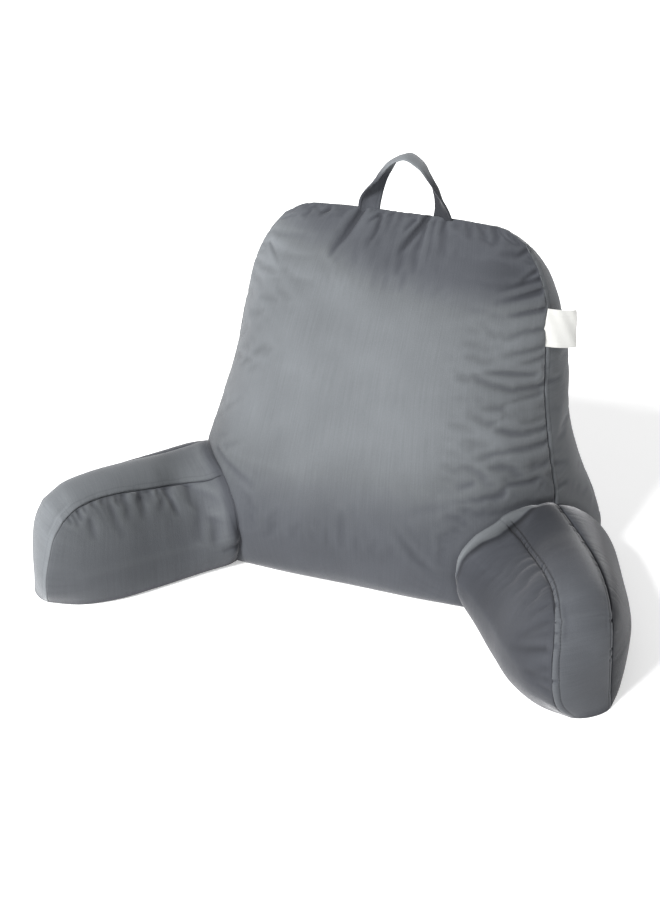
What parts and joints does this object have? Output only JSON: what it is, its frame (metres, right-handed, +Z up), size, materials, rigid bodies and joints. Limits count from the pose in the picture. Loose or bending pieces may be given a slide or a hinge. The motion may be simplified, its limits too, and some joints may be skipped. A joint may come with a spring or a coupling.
{
  "type": "reading pillow with arms",
  "caption": "Wedge-shaped back cushion in velvet with splayed arm cushions, a carry handle on the top seam and a side label.",
  "frame": {"origin": "middle of the footprint's bounding box, on the surface that the pillow stands on", "axes": "+Z up; -Y the way the pillow faces and its arms point; +X to the right of someone looking at its front"},
  "size_m": [0.7928, 0.4938, 0.5357],
  "materials": {
    "velvet": "smoke-grey short-pile velvet with a soft sheen",
    "label_tape": "plain white woven tape"
  },
  "bodies": {
    "root": {"back_cushion": "velvet", "arm_right": "velvet", "arm_left": "velvet", "carry_handle": "velvet", "side_label": "label_tape"}
  },
  "joints": []
}
